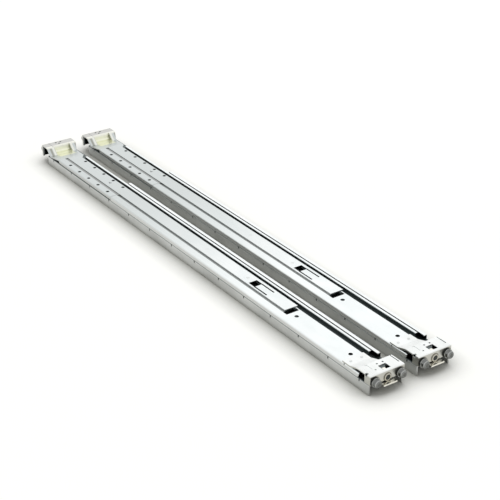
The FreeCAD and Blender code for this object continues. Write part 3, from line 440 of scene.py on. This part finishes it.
# Painted shade low down, behind the collar and in the dimple; painted highlights on the collar
# edge and nose chamfer.
def peg_shades(x, y, z):
    out = past_flange(y)
    dimple = disc(x.size() - PEG_SPREAD, z - PEG_HEIGHT, 1.79) * out.above(5.0)
    low = z.fall(9.5, 16.5)
    return [(low * 0.8, rgba(0.10, 0.105, 0.10)),
            (out.between(2.15, 2.7) * 0.5, rgba(0.50, 0.51, 0.49)),
            (out.between(5.6, 6.5) * 0.45, rgba(0.58, 0.59, 0.57)),
            (out.between(0.05, 1.6) * 0.85, rgba(0.04, 0.045, 0.045)),
            (dimple * 0.7, rgba(0.12, 0.12, 0.11))]


peg_steel = metal("peg_steel", rgba(0.28, 0.285, 0.28), rgba(0.16, 0.165, 0.16), 0.18,
                  peg_shades, speckle=0.5)

for side, centre in RAIL_X.items():
    for end, (face, outward, body) in ENDS.items():
        pair = bmesh.new()
        for sign in (-1, 1):
            foot = Vector((centre + sign * PEG_SPREAD * MM, face, PEG_HEIGHT * MM))
            lathe(pair, peg_profile(PEG_RADIUS[end]), foot, outward, 48)
        new_piece(f"{side}_{end}_rack_pegs", pair, peg_steel,
                  body.format(side=side), f"{side}_{end}_pegs")


# ---- Threaded bushes ---------------------------------------------------------------------
# A turned steel bush is pressed through each flange, midway between the pegs.  A rack screw
# runs into it, so its bore carries a thread, which is drawn here as a row of rings.

THREAD_START, THREAD_PITCH, THREAD_TURNS = -3.9, 0.8, 6
THREAD_VALLEY, THREAD_CREST = 2.75, 2.4


def bush_profile():
    """(distance from the flange face, radius) pairs of a bush, closed in a loop."""
    outside = [(1.2, 3.0), (1.2, 3.8), (0.95, 4.1), (0.0, 4.1), (0.0, 3.4), (-3.9, 3.4),
               (-4.1, 3.2), (-4.1, 2.9)]
    thread = []
    for turn in range(THREAD_TURNS):
        run = THREAD_START + THREAD_PITCH * turn
        thread += [(run, THREAD_VALLEY), (run + 0.5 * THREAD_PITCH, THREAD_CREST)]
    return outside + thread + [(0.9, THREAD_VALLEY), (1.2, 3.0)]


# Painted shade: the threaded bore is darkened as the shade inside it.
def bush_shades(x, y, z):
    return [(disc(x, z - PEG_HEIGHT, 2.9) * 0.92, HOLLOW_SHADE)]


bush_steel = metal("bush_steel", rgba(0.62, 0.60, 0.53), rgba(0.44, 0.42, 0.36), 0.28,
                   bush_shades)

for side, centre in RAIL_X.items():
    for end, (face, outward, body) in ENDS.items():
        bush = bmesh.new()
        lathe(bush, bush_profile(), Vector((centre, face, PEG_HEIGHT * MM)), outward, 40)
        new_piece(f"{side}_{end}_threaded_bush", bush, bush_steel,
                  body.format(side=side), f"{side}_{end}_thread_insert")


# ---- Rear bracket and its tongue ---------------------------------------------------------
# The rear bracket is pressed from one plated steel sheet: a long tongue that slides in the
# support rail, a plate with two rows of holes and a raised box with a scooped front wall.
# The scoop is coloured lighter and slightly yellow.

HOLE_FIRST, HOLE_PITCH = 527.8, 24.8                 # rows of holes, from the front flange
HOLE_LEFT, HOLE_RIGHT = -16.6, 5.6
HOLE_ROWS = (522.0, 634.0)                           # where both rows begin and end
PILOT_LINES = (691.5, 695.5)                         # one hole, then two beside each other


def rear_shades(x, y, z):
    out = x.size()
    # long plate and tongue, with painted shade: dimmer towards the rear, darker on the
    # shoulder side, in the groove and under the tongue
    plate = y.rise(*REAR_FADE)
    shoulder = x.below(SHOULDER_EDGE) * z.fall(15.6, 17.6)
    groove = x.between(-12.45, -8.05) * z.between(15.0, 17.3) * y.between(505.0, 652.0)
    under = z.below(16.35) * y.below(651.0) * x.above(-20.0)
    # spring finger: its openings and slits are painted dark as the shade below them
    cuts = z.below(WEB_TOP - 0.1) * y.between(190.0, 232.0) * x.between(-7.5, 6.0)
    slits = y.between(196.3, 219.5) * (x.between(-6.35, -4.5) + x.between(3.5, 5.35))
    # rows of holes, painted dark inside as shade, a painted shade ring that widens each
    # hole, and the small mark between them, painted dark as shade
    rows = (x.between(-18.5, -14.7) + x.between(3.7, 7.5)).clamped()
    holes = z.below(WEB_TOP - 0.1) * y.between(*HOLE_ROWS) * rows
    aside = (x - HOLE_LEFT).size().maths("MINIMUM", (x - HOLE_RIGHT).size())
    hole_rim_shade = disc(y.from_nearest(HOLE_FIRST, HOLE_PITCH), aside, 2.24) * y.between(*HOLE_ROWS)
    mark = (y.between(547.4, 548.6) * x.between(-3.2, 0.8)
            + y.between(548.6, 551.8) * x.between(-1.8, -0.7)).clamped()
    # slanting front of the box: the scoop coloured lighter and yellowish, its two rims
    # painted as highlights, and its seams and the slanting outer parts painted as shade
    scoop = x.between(-11.6, 11.6) * y.between(664.0, 686.2) * z.between(12.0, 22.95)
    slope = y.rise(668.0, 676.0) * y.fall(682.5, 685.0)
    flank = (x.rise(-19.4, -17.8) * x.fall(-16.6, -14.8) + x.rise(17.4, 19.4)) * slope
    rims = (out.rise(11.6, 12.6) * out.fall(14.0, 15.6)).clamped() * y.rise(672.0, 676.0)
    seams = out.between(10.7, 11.7) * y.between(674.0, 685.0) * z.above(15.0)
    # top of the box coloured darker, its front edge painted as a highlight, and a crease,
    # the pilot holes, the hollow under it and the side mouth painted dark as shade
    box = y.rise(685.5, 687.5)
    brow = y.rise(682.4, 683.6) * y.fall(687.0, 688.6) * z.above(PLATE_TOP - 2.5)
    crease = x.between(-12.7, -12.0) * y.between(684.0, 699.0) * z.above(PLATE_TOP - 1.0)
    pilots = (disc((x - 0.5).size() - 3.5, y - PILOT_LINES[1], 1.38)
              + disc(x, y - PILOT_LINES[0], 1.38)).clamped() * z.above(PLATE_TOP - 1.0)
    inside = x.between(-19.9, 21.6) * y.between(687.2, 698.6) * z.below(PLATE_TOP - 1.6)
    mouth = x.below(-19.0) * y.between(684.0, 697.2) * z.below(PLATE_TOP - 1.4)
    return [(plate * 0.9, REAR_SHADE), (shoulder, rgba(0.58, 0.59, 0.58)),
            (groove, rgba(0.34, 0.35, 0.345)), (flank * 0.9, rgba(0.34, 0.34, 0.295)),
            (box * 0.9, rgba(0.56, 0.555, 0.53)), (scoop, rgba(0.86, 0.87, 0.69)),
            ((rims * (1.0 - box) + brow).clamped() * 0.8, rgba(0.88, 0.88, 0.80)),
            (seams * 0.7, rgba(0.26, 0.26, 0.22)), (crease, rgba(0.30, 0.30, 0.28)),
            (inside, HOLLOW_SHADE), (mouth, HOLLOW_SHADE), (under, HOLLOW_SHADE), (cuts, HOLLOW_SHADE), (slits, HOLLOW_SHADE),
            (hole_rim_shade * 0.85, HOLLOW_SHADE), (holes, HOLLOW_SHADE), (pilots * 0.8, HOLLOW_SHADE), (mark * 0.9, HOLLOW_SHADE)]


rear_zinc = metal("rear_zinc", rgba(0.92, 0.94, 0.94), rgba(0.80, 0.84, 0.84), 0.34,
                  rear_shades, speckle=0.55)
paint(rear_zinc, "rear_bracket")


# ---- Tongue studs ------------------------------------------------------------------------
# Two headed steel studs are riveted into the tongue and run in a slot of the support rail.
# They hold the tongue down and end its travel.

STUD_LINES = (240.0, 324.0)                          # from the front flange
STUD_PROFILE = [(13.7, 0.0), (13.7, 3.2), (13.9, 3.4), (14.7, 3.4), (14.7, 2.0),
                (17.6, 2.0), (WEB_TOP, 1.8), (WEB_TOP, 0.0)]

for side, centre in RAIL_X.items():
    studs = bmesh.new()
    for along in STUD_LINES:
        lathe(studs, STUD_PROFILE, Vector((centre, FRONT_Y + along * MM, 0.0)), UPWARD, 32)
    new_piece(f"{side}_tongue_stud_pair", studs, bright_rivet,
              f"{side}_rear_bracket_body", f"{side}_tongue_studs")


# ---- Rack latches ------------------------------------------------------------------------
# Each latch is a folded steel hook that snaps behind the post.  Its polished lip is
# painted warm and very bright as a highlight and forms the bar under the bush; the rest of
# it is painted dark as the shade of the bracket.

# Painted shade everywhere but the lip, which carries the painted highlight.
def latch_shades(x, y, z):
    lip = (past_flange(y).above(-0.3) + z.above(19.8)).clamped()
    return [(1.0 - lip, HOLLOW_SHADE)]


latch_steel = metal("latch_steel", rgba(0.97, 0.95, 0.87), rgba(0.88, 0.86, 0.78), 0.24,
                    latch_shades)
paint(latch_steel, "front_latch", "rear_latch")


# ---- Latch pins and springs --------------------------------------------------------------
# A cross pin of plain steel carries each latch between the ears of the bracket; it is
# painted dark as the shade inside the bracket.  A thin leaf spring of blued strip bears on
# its hub and pushes the hook down.

pin_steel = metal("pin_steel", rgba(0.16, 0.16, 0.155), rgba(0.10, 0.10, 0.10), 0.25)
paint(pin_steel, "front_latch_pin", "rear_latch_pin")
spring_steel = metal("spring_steel", rgba(0.30, 0.31, 0.33), rgba(0.20, 0.21, 0.24), 0.28)
paint(spring_steel, "front_latch_spring", "rear_latch_spring")


# ---- Rear bumper -------------------------------------------------------------------------
# A moulded block of black rubber is pressed into the rear end of the slide.  It stops the
# running members quietly, and its matt skin holds some dust.

rubber = Nodes(bpy.data.materials.new("bumper_rubber"))
dust = rubber.noise(rubber.where(), (60.0, 60.0, 60.0), 3.0, 0.5)
skin = rubber.noise(rubber.where(), (900.0, 900.0, 900.0), 4.0, 0.6)
paint(rubber.finish(
    Base_Color=rubber.mix(dust.rise(0.4, 0.8) * 0.5, rgba(0.016, 0.016, 0.017),
                          rgba(0.05, 0.05, 0.05)),
    Roughness=(dust * 0.2 + 0.62).clamped(), Metallic=0.0,
    Normal=rubber.bump(skin, 0.00006, 0.4)), "rear_bumper")


# ---- Release tab -------------------------------------------------------------------------
# A strip of blue plastic, moulded in one piece with its finger grip, slides on the inner
# member.  It is pulled to free the server from the rack.

plastic = Nodes(bpy.data.materials.new("tab_plastic"))
flow = plastic.noise(plastic.where(), (50.0, 50.0, 50.0), 2.0, 0.5)
skin = plastic.noise(plastic.where(), (700.0, 700.0, 700.0), 3.0, 0.5)
paint(plastic.finish(
    Base_Color=plastic.mix(flow.rise(0.3, 0.7), rgba(0.020, 0.10, 0.36),
                           rgba(0.028, 0.13, 0.42)),
    Roughness=(flow * 0.12 + 0.36).clamped(), Metallic=0.0,
    Normal=plastic.bump(skin, 0.00004, 0.35)), "release_tab")


# ---- Lock lever --------------------------------------------------------------------------
# A stamped and plated steel lever turns on a stud of the inner member.  It drops behind a
# stop when the slide is fully out, and so keeps it open.

paint(metal("lever_steel", rgba(0.50, 0.51, 0.52), rgba(0.36, 0.37, 0.38), 0.34), "lock_lever")
# The stud takes the same pin steel, painted dark as shade.
paint(pin_steel, "lock_lever_stud")


# ---- Table and backdrop ------------------------------------------------------------------
# The rails lie on a white sheet in a white room, lit by one large soft box above and behind
# them.  The sheet is lifted to white where it is seen, but less so close beside the rails,
# so that it keeps their shadow.

SHEET_HALF = 6.0                                     # from the middle of the sheet to an edge
SHEET_GLOW = 0.58
SHADOW_REACH = 0.028                                 # how far the rails dim the sheet
ROOM_LIGHT = 0.74                                    # on the rails, where 1 is white


def seen(nodes):
    """1 where a ray shows the surface itself, straight, mirrored or through glass."""
    rays = nodes.make("ShaderNodeLightPath")
    camera_ray, glossy, through = (
        Value(nodes, rays.outputs[f"Is {kind} Ray"])
        for kind in ("Camera", "Glossy", "Transmission"))
    return camera_ray.maths("MAXIMUM", glossy).maths("MAXIMUM", through)


sheet = bmesh.new()
bmesh.ops.create_grid(sheet, x_segments=1, y_segments=1, size=SHEET_HALF)
sheet_data = bpy.data.meshes.new("table")
sheet.to_mesh(sheet_data)
sheet.free()
table = bpy.data.objects.new("table", sheet_data)
bpy.context.scene.collection.objects.link(table)

paper = Nodes(bpy.data.materials.new("white_table"))
openness = paper.make("ShaderNodeAmbientOcclusion", {"samples": 16}, {"Distance": SHADOW_REACH})
lit = ((Value(paper, openness.outputs["AO"]) - 0.5) * 2.0).clamped()
sheet_data.materials.append(paper.finish(
    Base_Color=rgba(0.60, 0.602, 0.56), Roughness=0.9, Metallic=0.0, Specular_IOR_Level=0.0,
    Emission_Color=paper.mix(seen(paper) * lit, rgba(0, 0, 0), rgba(1, 1, 1)),
    Emission_Strength=SHEET_GLOW))

room = Nodes(bpy.data.worlds.new("white_room"))
bpy.context.scene.world = room.owner
background = room.tree.nodes["Background"]
background.inputs["Color"].default_value = rgba(1, 1, 1)
room.feed(background.inputs["Strength"], seen(room) * (1.0 - ROOM_LIGHT) + ROOM_LIGHT)

lamp = bpy.data.lights.new("soft_box", "AREA")
lamp.shape = "RECTANGLE"
lamp.size = 1.6
lamp.size_y = 1.2
lamp.energy = 0.9
soft_box = bpy.data.objects.new("soft_box", lamp)
bpy.context.scene.collection.objects.link(soft_box)
soft_box.location = (0.95, 1.25, 0.95)
soft_box.rotation_euler = (-soft_box.location).to_track_quat("-Z", "Y").to_euler()


# ---- Camera ------------------------------------------------------------------------------
# A long lens looks down on both rails from the front, past the outer side of the left one.
# It stands 1.6 m away and leans by a third of a degree.

HEADING = math.radians(34.34)
DOWN = math.radians(27.48)
ROLL = math.radians(-0.36)
EYE = (-0.75466, -1.17437, 0.72194)
SENSOR = 36.0
FOCAL_LENGTH = 2.657 * SENSOR

forward = Vector((math.sin(HEADING) * math.cos(DOWN), math.cos(HEADING) * math.cos(DOWN),
                  -math.sin(DOWN)))
level_right = Vector((math.cos(HEADING), -math.sin(HEADING), 0.0))
level_up = level_right.cross(forward)
right = level_right * math.cos(ROLL) + level_up * math.sin(ROLL)
up = level_up * math.cos(ROLL) - level_right * math.sin(ROLL)

lens = bpy.data.cameras.new("camera")
lens.sensor_width = SENSOR
lens.lens = FOCAL_LENGTH
lens.clip_start = 0.1
camera = bpy.data.objects.new("camera", lens)
bpy.context.scene.collection.objects.link(camera)
camera.matrix_world = (Matrix.Translation(EYE)
                       @ Matrix((right, up, -forward)).transposed().to_4x4())
bpy.context.scene.camera = camera
bpy.context.scene.view_settings.view_transform = "Standard"
